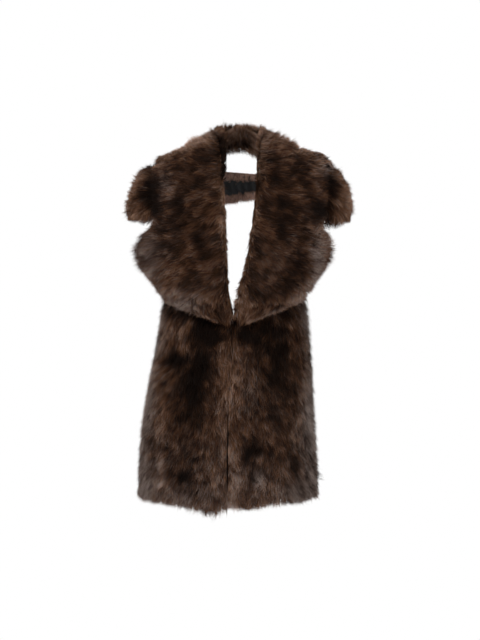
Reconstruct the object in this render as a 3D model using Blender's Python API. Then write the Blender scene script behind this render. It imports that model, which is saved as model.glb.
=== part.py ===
"""Sleeveless faux fur vest in its worn, hollow form.

Frame in metres: +Z up, the front faces -Y, +X is the wearer's left, and the
origin is between the shoulders at the base of the neck. Sizes below are in
millimetres. Each wall runs from the lining out to the tips of the pile.
"""
import math

import bmesh
import bpy
import numpy as np
from mathutils import Vector
from mathutils.bvhtree import BVHTree

# Driving dimensions
PILE = 17.0  # lining to hair tips where the pile stands free
PRESSED = 6.0  # the same wall where the collar lies on it
EDGE = 9.0  # wall at a free edge, where the hair turns over
EDGE_RUN = 16.0  # distance from a free edge to the full wall
SEAM = 0.3  # gap between pieces that are sewn together
REST_GAP = 1.5  # least gap between the collar and what it lies on
ARM_X = 165.0  # half width of the shoulders at the cap seam
STRAP_WALL = 15.0  # at its middle; its two long edges are rounded off
STRAP_BOW = 5.0  # how far its middle curves out
LINING_WALL = 1.2

# Rings of the body below the arms: height and the three half sizes of the lining
RING_COLUMNS = "z half front back".split()
RINGS = [
    (-686, 168.0, 132.0, 130.0),
    (-668, 169.0, 132.5, 130.5),
    (-630, 168.0, 131.5, 131.0),
    (-580, 164.5, 129.0, 131.0),
    (-523, 160.0, 125.0, 129.0),
    (-460, 153.0, 120.0, 122.0),
    (-400, 145.5, 114.0, 112.0),
    (-345, 138.5, 109.0, 103.0),
    (-305, 133.5, 107.5, 99.0),
    (-262, 131.0, 109.0, 101.0),
]
# How far the fronts and the backs stay open beside the centre at those rings
FRONT_OPEN = [0, 0, 0, 0, 0, 0, 0, 0, 0.4, 13]
BACK_OPEN = [0, 0, 0, 0, 0, 0, 0, 0, 14, 24]

# Rows above the arms, from the chest to the shoulder seam: the neck end, the arm
# end, and how far the row turns towards the side
ROW_COLUMNS = "x_in y_in z_in x_out y_out z_out turn".split()
FRONT_TOP = [
    (22, -111, -224, 140, -42, -241, 75),
    (28, -112, -180, 152, -60, -200, 65),
    (32, -107, -130, 161, -65, -156, 62),
    (38, -97, -82, ARM_X, -64, -118, 62),
    (46, -82, -43, ARM_X, -60, -90, 62),
    (52, -64, -9, ARM_X, -52, -60, 62),
    (57, -43, 10, ARM_X, -39, -36, 62),
    (60, -21, 23, ARM_X, -20, -22, 62),
    (60, 0, 28, ARM_X, 0, -18, 62),
]
BACK_TOP = [
    (31, 104, -224, 140, 40, -241, 75),
    (38, 105, -180, 152, 59, -200, 65),
    (44, 103, -130, 161, 64, -156, 62),
    (49, 97, -82, ARM_X, 64, -118, 62),
    (51, 87, -43, ARM_X, 60, -90, 62),
    (53, 73, -9, ARM_X, 52, -60, 62),
    (56, 52, 11, ARM_X, 39, -36, 62),
    (59, 27, 24, ARM_X, 20, -22, 62),
    (60, 0, 28, ARM_X, 0, -18, 62),
]
FIRST_TOP = len(RINGS)  # number of the first row of FRONT_TOP and BACK_TOP
SEAM_ROW = FIRST_TOP + 3  # from here up the arm end is sewn to the cap

# Level slices of a shoulder cap: height, reach past the seam, half depth
CAP_COLUMNS = "z reach depth".split()
CAP = [
    (-121, 46, 64.5),
    (-107, 51, 62.6),
    (-90, 51.5, 60.0),
    (-66, 47, 54.0),
    (-46, 41, 45.5),
    (-31, 34, 33.0),
    (-22, 26, 20.0),
    (-19, 17, 10.0),
    (-18, 0, 0.0),
]
CAP_RISE = 5.0  # the free edge is this much higher at the outside than at its ends

# Stations of the collar from its tip below the V, up over the shoulder, to the
# middle of the back: the inner (roll) edge, the outer edge, crown, thickness, and
# how much less it reaches on the wearer's left
COLLAR_COLUMNS = "x_in y_in z_in x_out y_out z_out crown thick left_less".split()
COLLAR = [
    (1.2, -127, -314, 36, -123, -330, 1, 17, 0),
    (0.8, -128, -304, 70, -111, -312, 4, 24, 0),
    (1.6, -129, -288, 106, -93, -294, 8, 27, 0),
    (6.0, -130, -268, 141, -74, -276, 12, 28, 3),
    (10.5, -131, -246, 167, -71, -246, 14, 28, 8),
    (14.5, -132, -224, 189, -74, -217, 13, 28, 12),
    (17.5, -132, -200, 203, -77, -195, 12, 28, 15),
    (19.5, -131, -178, 207, -79, -176, 11, 28, 16),
    (21.5, -129, -154, 199, -82, -153, 10, 28, 14),
    (23.5, -126, -130, 179, -85, -131, 9, 28, 8),
    (26.5, -120, -98, 174, -84, -104, 9, 28, 2),
    (29.0, -108, -62, 176, -75, -74, 9, 28, 0),
    (30.5, -91, -24, 178, -58, -45, 8, 28, 0),
    (32.0, -66, 16, 178, -38, -23, 6, 28, 0),
    (35.0, -36, 42, 178, -16, -9, 4, 28, 0),
    (39.0, -4, 59, 176, 6, -6, 2, 28, 0),
    (43.0, 20, 66, 162, 32, -14, 3, 28, 0),
    (43.0, 39, 70, 132, 58, -22, 5, 28, 0),
    (36.0, 56, 75, 86, 83, -3, 4, 28, 0),
    (20.0, 68, 80, 42, 95, 20, 3, 27, 0),
    (0.0, 72, 82, 0, 98, 26, 3, 26, 0),
]
# Rows of the back strap from its lower edge: height, share of the wall, lined or not
STRAP_COLUMNS = "z share lined".split()
STRAP = [
    (-70, 0.5, 0),
    (-63, 0.85, 0),
    (-51, 1, 1),
    (-39, 1, 1),
    (-27, 1, 1),
    (-14, 0.85, 0),
    (-6, 0.5, 0),
]
COLLAR_SEAM = 17  # station where the sides meet the standing back
# Lower edge of the collar on the fronts: distance from the middle and height
COLLAR_EDGE = [(0, -318), (38, -329), (68, -312), (106, -294), (141, -276), (160, -262)]

# Sideways lean of the whole garment: height and shift
LEAN = [(-700, -25), (-585, -25), (-523, -24), (-460, -20.5), (-400, -16), (-330, -13.5),
        (-250, -11), (-195, -6), (-130, -3), (-60, 0), (100, 0)]
# Soft folds of the skirt: angle from the front middle, half width, depth, top height.
# A minus angle is the wearer's right and a minus depth is a trough.
FOLD_COLUMNS = "angle width depth top".split()
FOLDS = [
    (-14, 13, 5.0, -430), (-38, 12, -6.0, -330), (-66, 15, 3.5, -470), (17, 10, -4.5, -420),
    (44, 14, 4.5, -450), (70, 12, -3.5, -480), (108, 14, 4.0, -470), (135, 13, -4.5, -440),
    (162, 12, 3.5, -460), (-110, 14, 4.0, -460), (-138, 13, -4.5, -450), (-165, 12, 3.0, -470),
]
# One level crease across the wearer's right front
CREASE_Z, CREASE_HIGH, CREASE_DEEP, CREASE_FROM, CREASE_TO = -408.0, 14.0, 5.0, -75.0, -22.0
# Hem: angle from the front middle and how far it drops
HEM = [(-180, 0), (-95, -4), (-62, 2), (-36, 6), (-13, 16), (-3, 7), (4, 9), (22, 10), (34, 2),
       (60, 0), (95, -6), (180, 0)]
HEM_FROM = -560.0  # the drop grows from this height down

FUR_COLOUR = (0.045, 0.027, 0.018, 1.0)
LINING_COLOUR = (0.012, 0.012, 0.013, 1.0)

for old in list(bpy.data.objects):
    bpy.data.objects.remove(old, do_unlink=True)


def along(rows, at):
    """Rows at fractional row numbers, on a cubic that passes through every row."""
    rows = np.asarray(rows, float)
    i = np.clip(np.floor(at).astype(int), 0, len(rows) - 2)
    f = (np.asarray(at, float) - i)[:, None]
    p, q = rows[np.maximum(i - 1, 0)], rows[i]
    r, s = rows[i + 1], rows[np.minimum(i + 2, len(rows) - 1)]
    return q + 0.5 * f * (r - p + f * (2 * p - 5 * q + 4 * r - s + f * (3 * q - p - 3 * r + s)))


def table(pairs, at):
    """A two-column table read in straight lines between its rows."""
    x, y = np.array(pairs, float).T
    return np.interp(at, x, y)


def smooth(low, high, value):
    """0 below low, 1 above high and an S curve between."""
    f = np.clip((value - low) / (high - low), 0, 1)
    return f * f * (3 - 2 * f)


def unit(v):
    return v / np.maximum(np.linalg.norm(v, axis=-1, keepdims=True), 1e-9)


def outward(p, sign):
    """Unit normals of a grid of points, from its differences both ways."""
    return unit(sign * np.cross(np.gradient(p, axis=0), np.gradient(p, axis=1)))


def leaned(p):
    """The points with the garment's sideways lean."""
    p = np.array(p, float)
    p[..., 0] += table(LEAN, p[..., 2])
    return p


def body_rows(face):
    """Rows of one half of the front (-1) or the back (+1), hem to shoulder."""
    low = []
    for ring, front, back in zip(RINGS, FRONT_OPEN, BACK_OPEN):
        z, half, deep_front, deep_back = ring
        deep = face * (deep_front if face < 0 else deep_back)
        low.append((front if face < 0 else back, deep, z, half, 0, z, 90))
    return low + (FRONT_TOP if face < 0 else BACK_TOP)


def body_surface(face, side, at, t):
    """Lining of one panel: row numbers down the first axis, t from the middle out.

    A row is part of an ellipse from its neck end to its arm end. Folds move it
    in and out, and the hem drops with the angle from the front middle.
    """
    x0, y0, z0, x1, y1, z1, turn = along(body_rows(face), at).T[:, :, None]
    half_seam = SEAM / 2
    x0 = np.maximum(x0, half_seam)
    y1 = face * np.maximum(face * y1, half_seam)
    y0 = face * np.maximum(face * y0, half_seam)
    turn = np.radians(turn)
    a = t[None, :] * turn
    across, back = np.sin(a) / np.sin(turn), (1 - np.cos(a)) / (1 - np.cos(turn))
    x, y = x0 + (x1 - x0) * across, y0 + (y1 - y0) * back
    z = z0 + (z1 - z0) * across
    angle = side * np.degrees(np.arctan2(x, -y))
    move = sum(
        depth * np.cos(np.clip((angle - where) / width, -1, 1) * math.pi / 2) ** 2
        * smooth(0, 1, (top - z) / 220)
        for where, width, depth, top in FOLDS
    )
    if face < 0:
        inside = smooth(CREASE_FROM, CREASE_FROM + 18, angle)
        inside = inside * smooth(-CREASE_TO, -CREASE_TO + 18, -angle)
        move = move - CREASE_DEEP * inside * np.exp(-((z - CREASE_Z) / CREASE_HIGH) ** 2)
    move = move * smooth(0, 10, x) * smooth(0, 10, face * y)
    size = 1 + move / 130
    drop = table(HEM, angle) * smooth(0, HEM_FROM + 686, HEM_FROM - z)
    return np.stack([side * x * size, y * size, z - drop], axis=-1)


def edge_wall(distance):
    """Wall at a distance from a free edge: thin at the edge, rounding up to full."""
    f = np.clip(distance / EDGE_RUN, 0, 1)
    return EDGE + (PILE - EDGE) * np.sqrt(1 - (1 - f) ** 2)


def body_panel(face, side):
    """Outer and inner points of one front or back panel."""
    last = FIRST_TOP + len(FRONT_TOP) - 1
    at = np.array([0, 0.35, 1, 2, 3, 4, 5, 5.45, 5.85, 6.25, 7, 7.6, 8, 8.4, 9, 9.4])
    at = np.concatenate([at, np.arange(FIRST_TOP, last + 0.01)])
    t = np.array([0, 0.035, 0.09, 0.2, 0.34, 0.48, 0.62, 0.76, 0.88, 0.95, 1.0])
    p = body_surface(face, side, at, t)
    n = outward(p, face * side)
    x, y, z = np.moveaxis(p, -1, 0)
    step = np.linalg.norm(np.diff(p, axis=1), axis=-1)
    run = np.concatenate([np.zeros((len(at), 1)), np.cumsum(step, axis=1)], axis=1)
    from_hem = (z - z[:1]) * np.ones_like(z)
    wall = np.minimum(edge_wall(run), edge_wall(from_hem))
    under_arm = np.linalg.norm(p - p[at == FIRST_TOP - 1, -1:], axis=-1)
    wall = np.minimum(wall, edge_wall(under_arm))
    armhole = (at > FIRST_TOP - 1) & (at < SEAM_ROW)
    to_arm = run[:, -1:] - run
    wall = np.where(armhole[:, None], np.minimum(wall, edge_wall(to_arm)), wall)
    if face < 0:
        edge = table(COLLAR_EDGE, np.abs(x))
        pressed = smooth(-14, 12, z - edge)
    else:
        pressed = smooth(SEAM_ROW + 0.1, SEAM_ROW + 1.6, at)[:, None] * np.ones_like(x)
    wall = wall + (np.minimum(PRESSED, wall) - wall) * pressed
    # at a seam the wall rises in the seam's own plane
    sewn_side, sewn_top = at <= FIRST_TOP - 1, at >= SEAM_ROW
    n[sewn_side, -1, 1] = 0
    n[sewn_top, -1, 0] = 0
    n[-1, :, 1] = 0
    middle = x[:, 0] * side < 1
    n[middle, 0, 0] = 0
    n = unit(n)
    return p + n * wall[..., None], p


def cap(side):
    """Outer and inner points of one shoulder cap, a half dome open below."""
    at = np.array([0, 0.6, 1.2, 2, 2.6, 3.2, 4, 5, 6, 7, 8])
    z, reach, depth = along(CAP, at).T[:, :, None]
    turn = np.radians(np.linspace(-90, 90, 15))[None, :]
    reach, depth = np.maximum(reach, 0), np.maximum(depth, 0)
    x = side * (ARM_X + SEAM + reach * np.cos(turn))
    y = depth * np.sin(turn)
    z = z + CAP_RISE * np.cos(turn) ** 2 * smooth(-80, -118, z)
    p = np.stack([x + 0 * y, y, z], axis=-1)
    n = outward(p[:-1], -side)
    n[:, [0, -1], 0] = 0
    n = np.concatenate([unit(n), np.broadcast_to([0.0, 0.0, 1.0], (1, 15, 3))])
    over = side * p[..., 0] - ARM_X
    wall = PRESSED + (PILE - PRESSED) * smooth(2, 24, over)
    free = np.linspace(0, 1, 3) ** 2
    wall[:3] = np.minimum(wall[:3], EDGE + (PILE - EDGE) * np.sqrt(free)[:, None])
    return p + n * wall[..., None], p


def collar_half(side, at, trees):
    """Top and underside of one half of the collar: a strip with rounded edges.

    Each station is a crowned line from the roll edge to the outer edge. The strip
    is moved out wherever it would lie less than the rest gap from a panel or cap,
    first at its points and then at the middles between them. The two rows beside
    the seam are then laid flat in one plane, a seam gap apart.
    """
    rows = along(COLLAR, at)
    a, b, crown, thick = rows[:, 0:3], rows[:, 3:6], rows[:, 6], rows[:, 7]
    if side > 0:
        b = b - rows[:, 8:9] * np.array([1, 0, 0])
    wide = np.linalg.norm(b - a, axis=1)
    edge = np.minimum(14.0, wide * 0.3)
    near = np.array([0, 0.16, 0.5, 1.0])
    mid = np.linspace(0, 1, 8)[1:-1]
    t = np.concatenate([
        near[None] * (edge / wide)[:, None],
        (edge / wide)[:, None] + mid[None] * (1 - 2 * edge / wide)[:, None],
        1 - near[::-1][None] * (edge / wide)[:, None],
    ], axis=1)
    p = a[:, None] + (b - a)[:, None] * t[..., None]
    p = p + outward(p, -1) * (crown[:, None] * 4 * t * (1 - t))[..., None]
    n = outward(p, -1)
    n[-1, :, 0] = 0
    seam = np.abs(at - COLLAR_SEAM) < 0.1
    n[seam] = n[seam].mean(axis=0)
    n = unit(n)
    to_edge = np.minimum(t, 1 - t) * wide[:, None]
    f = np.clip(to_edge / edge[:, None], 0, 1)
    half = thick[:, None] / 2 * np.maximum(np.sqrt(1 - (1 - f) ** 2), 0.28)
    flip = np.array([side, 1, 1])
    p, n = p * flip, n * flip
    reach = n * half[..., None]
    for share, between in ((-1, 0), (-1, 0), (0, 0), (1, 0), (-1, 1), (-1, 0), (-1, 1), (-1, 1)):
        level = p + reach * share
        if between:
            level = (level[1:, 1:] + level[:-1, 1:] + level[1:, :-1] + level[:-1, :-1]) / 4
        for i, j in np.ndindex(level.shape[:2]):
            for tree in trees:
                spot, normal, _, far = tree.find_nearest(Vector(level[i, j]))
                gap = (Vector(level[i, j]) - spot).dot(normal)
                beside = abs(gap) < 0.85 * far  # past the panel's edge, not over it
                if gap < REST_GAP and far < 25 and not beside:
                    p[i:i + 1 + between, j:j + 1 + between] += np.array(normal) * (REST_GAP - gap)
    faces = p + reach, p - reach
    before, after = np.flatnonzero(seam)
    across = p[before, -1] - p[before, 0]
    ahead = unit(np.cross(across, n[before].mean(axis=0)))
    ahead = ahead * np.sign(((p[after + 1] - p[before - 1]) @ ahead).sum())
    middle = p[[before, after]].mean(axis=(0, 1))
    for level in faces:
        line = level[[before, after]].mean(axis=0)
        line = line - ((line - middle) @ ahead)[:, None] * ahead
        level[before], level[after] = line - ahead * SEAM / 2, line + ahead * SEAM / 2
    return faces


def strap():
    """Outer and inner points of the strap that fills the open back, and of its lining."""
    z, share, lined = np.array(STRAP, float).T
    backs = np.array([(r[2], r[0], r[1]) for r in BACK_TOP])
    half = np.interp(z, backs[:, 0], backs[:, 1]) - SEAM - 0.5
    deep = np.interp(z, backs[:, 0], backs[:, 2])
    f = np.linspace(-1, 1, 9)[None]
    x = half[:, None] * f
    p = np.stack([x, deep[:, None] + STRAP_BOW * (1 - f**2), z[:, None] + 0 * x], axis=-1)
    n = outward(p, 1)
    n[:, [0, -1], 0] = 0
    n = unit(n)
    part = lined > 0
    inside = p[part] - n[part] * SEAM, p[part] - n[part] * (SEAM + LINING_WALL)
    return (p + n * (STRAP_WALL * share)[:, None, None], p), inside


def closed_wall(outer, inner):
    """Points and triangles of the closed wall between two grids, facing out."""
    r, c = outer.shape[:2]
    k = np.arange(r * c).reshape(r, c)
    m = k + r * c
    quads = [
        np.stack([g[:-1, :-1], g[1:, :-1], g[1:, 1:], g[:-1, 1:]], -1).reshape(-1, 4)
        for g in (k, m[:, ::-1])
    ]
    ring = np.concatenate([k[0, :-1], k[:-1, -1], k[-1, :0:-1], k[:0:-1, 0]])
    after = np.roll(ring, -1)
    quads.append(np.stack([ring + r * c, after + r * c, after, ring], -1))
    q = np.concatenate(quads)
    faces = np.concatenate([q[:, [0, 1, 2]], q[:, [0, 2, 3]]])
    points = np.concatenate([outer.reshape(-1, 3), inner.reshape(-1, 3)])
    a, b, d = points[faces].transpose(1, 0, 2)
    if (a * np.cross(b, d)).sum() < 0:
        faces = faces[:, ::-1]
    return points, faces


def solid(name, outer, inner, colour):
    """The closed wall between two grids of points, as one named object."""
    points, faces = closed_wall(leaned(outer), leaned(inner))
    mesh = bpy.data.meshes.new(name)
    mesh.from_pydata((points * 0.001).tolist(), [], faces.tolist())
    bm = bmesh.new()
    bm.from_mesh(mesh)
    bmesh.ops.remove_doubles(bm, verts=bm.verts, dist=2e-6)
    bmesh.ops.dissolve_degenerate(bm, edges=bm.edges, dist=1e-6)
    bmesh.ops.recalc_face_normals(bm, faces=bm.faces)
    bm.to_mesh(mesh)
    bm.free()
    obj = bpy.data.objects.new(name, mesh)
    bpy.context.collection.objects.link(obj)
    slot = "lining" if colour is LINING_COLOUR else "fur"
    mat = bpy.data.materials.get(slot) or bpy.data.materials.new(slot)
    mat.use_nodes = True
    shader = mat.node_tree.nodes["Principled BSDF"]
    shader.inputs["Base Color"].default_value = colour
    shader.inputs["Roughness"].default_value = 0.8
    mesh.materials.append(mat)
    return obj


def wall_tree(outer, inner):
    """A search tree of a wall's outer faces."""
    points, faces = closed_wall(outer, inner)
    outside = (faces < outer.shape[0] * outer.shape[1]).all(axis=1)
    return BVHTree.FromPolygons([Vector(v) for v in points], faces[outside].tolist())


SIDES = {"right": -1, "left": 1}
split = 0.009  # of a station: the two rows at the seam of the collar
stations = np.concatenate([
    np.arange(0, COLLAR_SEAM - 0.3, 0.75),
    [COLLAR_SEAM - split, COLLAR_SEAM + split],
    np.linspace(COLLAR_SEAM, len(COLLAR) - 1, 8)[1:],
])
sides = stations < COLLAR_SEAM
backs = []
for word, side in SIDES.items():
    walls = {"front_" + word: body_panel(-1, side), "back_" + word: body_panel(1, side),
             "cap_" + word: cap(side)}
    for name, (outer, inner) in walls.items():
        solid(name, outer, inner, FUR_COLOUR)
    top, under = collar_half(side, stations, [wall_tree(*w) for w in walls.values()])
    solid("collar_" + word, top[sides], under[sides], FUR_COLOUR)
    backs.append((top[~sides], under[~sides]))
right, left = backs
solid("collar_back", *(np.concatenate([r, l[-2::-1]]) for r, l in zip(right, left)), FUR_COLOUR)

strap_wall, lining_wall = strap()
solid("back_strap", *strap_wall, FUR_COLOUR)
solid("strap_lining", *lining_wall, LINING_COLOUR)
print("pieces", len(bpy.data.objects), "triangles",
      sum(len(o.data.polygons) for o in bpy.data.objects))
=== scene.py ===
# %% [markdown]
# This lesson dresses a sleeveless faux fur vest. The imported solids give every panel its
# place and its reach. Here each panel becomes a thin cloth with a satin lining, and a
# pile of tapered hairs grows from it out to where the solid ends.

# %% Load the frame
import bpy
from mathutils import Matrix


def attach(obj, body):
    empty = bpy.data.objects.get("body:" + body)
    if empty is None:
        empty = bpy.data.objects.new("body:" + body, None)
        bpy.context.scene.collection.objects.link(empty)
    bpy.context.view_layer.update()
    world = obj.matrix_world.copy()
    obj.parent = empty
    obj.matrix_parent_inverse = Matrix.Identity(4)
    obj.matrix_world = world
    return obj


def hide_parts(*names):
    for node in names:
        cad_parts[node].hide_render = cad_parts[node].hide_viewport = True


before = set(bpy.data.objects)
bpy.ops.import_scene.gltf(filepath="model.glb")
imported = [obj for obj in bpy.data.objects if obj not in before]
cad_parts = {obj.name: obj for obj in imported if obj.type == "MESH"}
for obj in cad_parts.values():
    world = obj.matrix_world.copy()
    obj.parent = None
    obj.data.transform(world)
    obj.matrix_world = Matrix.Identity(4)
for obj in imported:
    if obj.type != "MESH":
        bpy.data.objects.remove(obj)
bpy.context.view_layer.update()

import math

import bpy
import numpy as np
from mathutils import Vector
from mathutils.bvhtree import BVHTree

print("nodes", sorted(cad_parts))

# %% [markdown]
# A sewn panel is smooth, so a few rows of sizes are enough to describe it. These helpers
# read such rows with a curve through all of them, and find which way a grid of points
# faces. Everything works on whole arrays, in millimetres.

# %% Curves and normals
def along(rows, at):
    """Rows at fractional row numbers: a cubic that passes through every row."""
    rows = np.asarray(rows, float)
    i = np.clip(np.floor(at).astype(int), 0, len(rows) - 2)
    f = (np.asarray(at, float) - i).reshape(-1, *[1] * (rows.ndim - 1))
    p, q = rows[np.maximum(i - 1, 0)], rows[i]
    r, s = rows[i + 1], rows[np.minimum(i + 2, len(rows) - 1)]
    return q + 0.5 * f * (r - p + f * (2 * p - 5 * q + 4 * r - s + f * (3 * q - p - 3 * r + s)))


def finer(grid, rows, columns):
    """A grid read at new fractional row and column numbers, cubic both ways."""
    return np.swapaxes(along(np.swapaxes(along(grid, rows), 0, 1), columns), 0, 1)


def table(pairs, at):
    """A two-column table read in straight lines between its rows."""
    x, y = np.array(pairs, float).T
    return np.interp(at, x, y)


def smooth(low, high, value):
    """0 below low, 1 above high and an S curve between."""
    f = np.clip((value - low) / (high - low), 0, 1)
    return f * f * (3 - 2 * f)


def bell(value, wide):
    """1 where the value is 0, falling off as exp of minus the square of value over wide."""
    return np.exp(-((value / wide) ** 2))


def unit(v):
    """Vectors divided by their own lengths."""
    return v / np.maximum(np.linalg.norm(v, axis=-1, keepdims=True), 1e-9)


def outward(p, sign):
    """Unit normals of a grid of points, from its differences both ways."""
    return unit(sign * np.cross(np.gradient(p, axis=0), np.gradient(p, axis=1)))


print("S curve at a quarter", smooth(0, 1, 0.25))

# %% [markdown]
# The two fronts and two backs are the body of the vest. Below the arms a panel is a
# quarter of an oval tube, and above them it narrows to the shoulder. The same tables
# shaped the solids, so the cloth lies exactly on their lining side, folds and all.

# %% Sizes of the panels
# reach of the pile: full, under the collar, at a free edge, how far that edge rounds; gap of a seam
PILE, PRESSED, EDGE, EDGE_RUN, SEAM = 17.0, 6.0, 9.0, 16.0, 0.3
ARM_X = 165.0  # the armhole seam
# height and half sizes of the lining: side, front, back, then the two open edges
RINGS = [
    (-686, 168.0, 132.0, 130.0, 0, 0), (-668, 169.0, 132.5, 130.5, 0, 0),
    (-630, 168.0, 131.5, 131.0, 0, 0), (-580, 164.5, 129.0, 131.0, 0, 0),
    (-523, 160.0, 125.0, 129.0, 0, 0), (-460, 153.0, 120.0, 122.0, 0, 0),
    (-400, 145.5, 114.0, 112.0, 0, 0), (-345, 138.5, 109.0, 103.0, 0, 0),
    (-305, 133.5, 107.5, 99.0, 0.4, 14), (-262, 131.0, 109.0, 101.0, 13, 24),
]
# neck end x y z, arm end x y z, and the turn of the row towards the side
FRONT_TOP = [
    (22, -111, -224, 140, -42, -241, 75), (28, -112, -180, 152, -60, -200, 65),
    (32, -107, -130, 161, -65, -156, 62), (38, -97, -82, ARM_X, -64, -118, 62),
    (46, -82, -43, ARM_X, -60, -90, 62), (52, -64, -9, ARM_X, -52, -60, 62),
    (57, -43, 10, ARM_X, -39, -36, 62), (60, -21, 23, ARM_X, -20, -22, 62),
    (60, 0, 28, ARM_X, 0, -18, 62),
]
BACK_TOP = [
    (31, 104, -224, 140, 40, -241, 75), (38, 105, -180, 152, 59, -200, 65),
    (44, 103, -130, 161, 64, -156, 62), (49, 97, -82, ARM_X, 64, -118, 62),
    (51, 87, -43, ARM_X, 60, -90, 62), (53, 73, -9, ARM_X, 52, -60, 62),
    (56, 52, 11, ARM_X, 39, -36, 62), (59, 27, 24, ARM_X, 20, -22, 62),
    (60, 0, 28, ARM_X, 0, -18, 62),
]
HEM_Z = RINGS[0][0]
FIRST_TOP = len(RINGS)
SEAM_ROW = FIRST_TOP + 3
LAST_ROW = FIRST_TOP + len(FRONT_TOP) - 1
# x and height of the collar's lower edge
COLLAR_EDGE = [(0, -318), (38, -329), (68, -312), (106, -294), (141, -276), (160, -262)]
# height and how far the garment leans along x there
LEAN = [(-700, -25), (-585, -25), (-523, -24), (-460, -20.5), (-400, -16), (-330, -13.5),
        (-250, -11), (-195, -6), (-130, -3), (-60, 0), (100, 0)]
# soft folds: angle from the front middle, half width, depth, top height
FOLDS = [
    (-14, 13, 5.0, -430), (-38, 12, -6.0, -330), (-66, 15, 3.5, -470), (17, 10, -4.5, -420),
    (44, 14, 4.5, -450), (70, 12, -3.5, -480), (108, 14, 4.0, -470), (135, 13, -4.5, -440),
    (162, 12, 3.5, -460), (-110, 14, 4.0, -460), (-138, 13, -4.5, -450), (-165, 12, 3.0, -470),
]
FOLD_FADE = 220.0  # a fold deepens over this height below its top
# the waist crease: height, half height, depth, and the angles it runs between
CREASE_Z, CREASE_HIGH, CREASE_DEEP, CREASE_FROM, CREASE_TO = -408.0, 14.0, 5.0, -75.0, -22.0
CREASE_FADE = 18.0  # degrees at each end
MEAN_RADIUS = 130.0
# angle from the front middle and drop of the hem, which starts at HEM_FROM
HEM = [(-180, 0), (-95, -4), (-62, 2), (-36, 6), (-13, 16), (-3, 7), (4, 9), (22, 10), (34, 2),
       (60, 0), (95, -6), (180, 0)]
HEM_FROM = -560.0
print("rows of a panel", LAST_ROW + 1, "from the hem at", HEM_Z, "mm")

# %% [markdown]
# A panel is worked out as one grid of points, row by row from the hem to the shoulder. A
# mesh could be bent by modifiers instead, but with a formula the lining, the wool and the
# roots of the hairs all use the same surface.

# %% Surface of one panel
def body_rows(face):
    """Rows of one half of the front (-1) or the back (+1), hem to shoulder."""
    pick = (2, 4) if face < 0 else (3, 5)
    low = [(r[pick[1]], face * r[pick[0]], r[0], r[1], 0, r[0], 90) for r in RINGS]
    return low + (FRONT_TOP if face < 0 else BACK_TOP)


def body_surface(face, side, at, t):
    """Lining of a panel: each row is part of an ellipse from neck end to arm end.

    Folds move it in and out, and the hem drops with the angle from the front middle.
    """
    x0, y0, z0, x1, y1, z1, turn = along(body_rows(face), at).T[:, :, None]
    x0 = np.maximum(x0, SEAM / 2)
    y1 = face * np.maximum(face * y1, SEAM / 2)
    y0 = face * np.maximum(face * y0, SEAM / 2)
    turn = np.radians(turn)
    a = t[None, :] * turn
    across, back = np.sin(a) / np.sin(turn), (1 - np.cos(a)) / (1 - np.cos(turn))
    x, y = x0 + (x1 - x0) * across, y0 + (y1 - y0) * back
    z = z0 + (z1 - z0) * across
    angle = side * np.degrees(np.arctan2(x, -y))
    move = sum(
        depth * np.cos(np.clip((angle - where) / width, -1, 1) * math.pi / 2) ** 2
        * smooth(0, 1, (top - z) / FOLD_FADE)
        for where, width, depth, top in FOLDS
    )
    if face < 0:
        on_crease = smooth(CREASE_FROM, CREASE_FROM + CREASE_FADE, angle)
        on_crease = on_crease * smooth(-CREASE_TO, -CREASE_TO + CREASE_FADE, -angle)
        move = move - CREASE_DEEP * on_crease * bell(z - CREASE_Z, CREASE_HIGH)
    move = move * smooth(0, 10, x) * smooth(0, 10, face * y)
    size = 1 + move / MEAN_RADIUS
    drop = table(HEM, angle) * smooth(0, HEM_FROM - HEM_Z, HEM_FROM - z)
    return np.stack([side * x * size, y * size, z - drop], axis=-1)


def edge_wall(distance):
    """Reach of the pile at a distance from a free edge, rounding up to full."""
    f = np.clip(distance / EDGE_RUN, 0, 1)
    return EDGE + (PILE - EDGE) * np.sqrt(1 - (1 - f) ** 2)


def body_panel(face, side, at, t):
    """Lining points, unit normals and reach of the pile of one panel."""
    p = body_surface(face, side, at, t)
    n = outward(p, face * side)
    x, z = p[..., 0], p[..., 2]
    step = np.linalg.norm(np.diff(p, axis=1), axis=-1)
    run = np.concatenate([np.zeros((len(at), 1)), np.cumsum(step, axis=1)], axis=1)
    wall = np.minimum(edge_wall(run), edge_wall(z - HEM_Z))
    arm_foot = body_surface(face, side, np.array([FIRST_TOP - 1.0]), t[-1:])
    wall = np.minimum(wall, edge_wall(np.linalg.norm(p - arm_foot, axis=-1)))
    armhole = (at > FIRST_TOP - 1) & (at < SEAM_ROW)
    wall = np.where(armhole[:, None], np.minimum(wall, edge_wall(run[:, -1:] - run)), wall)
    if face < 0:
        pressed = smooth(-14, 12, z - table(COLLAR_EDGE, np.abs(x)))
    else:
        pressed = smooth(SEAM_ROW + 0.1, SEAM_ROW + 1.6, at)[:, None] * np.ones_like(x)
    wall = wall + (np.minimum(PRESSED, wall) - wall) * pressed
    n[at <= FIRST_TOP - 1, -1, 1] = 0
    n[at >= SEAM_ROW, -1, 0] = 0
    n[-1, :, 1] = 0
    n[x[:, 0] * side < 1, 0, 0] = 0
    return p, unit(n), wall


print("reach of the pile at an edge", edge_wall(0.0), "mm, and inside", edge_wall(EDGE_RUN), "mm")

# %% [markdown]
# A shoulder cap is half a dome sewn to the armhole. Half rings of an ellipse, smaller and
# smaller towards the top, give its form.

# %% Surface of a cap
# height, reach to the side and half depth
CAP = [(-121, 46, 64.5), (-107, 51, 62.6), (-90, 51.5, 60.0), (-66, 47, 54.0), (-46, 41, 45.5),
       (-31, 34, 33.0), (-22, 26, 20.0), (-19, 17, 10.0), (-18, 0, 0.0)]
CAP_RISE = 5.0  # of the lower edge at its outermost point


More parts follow.
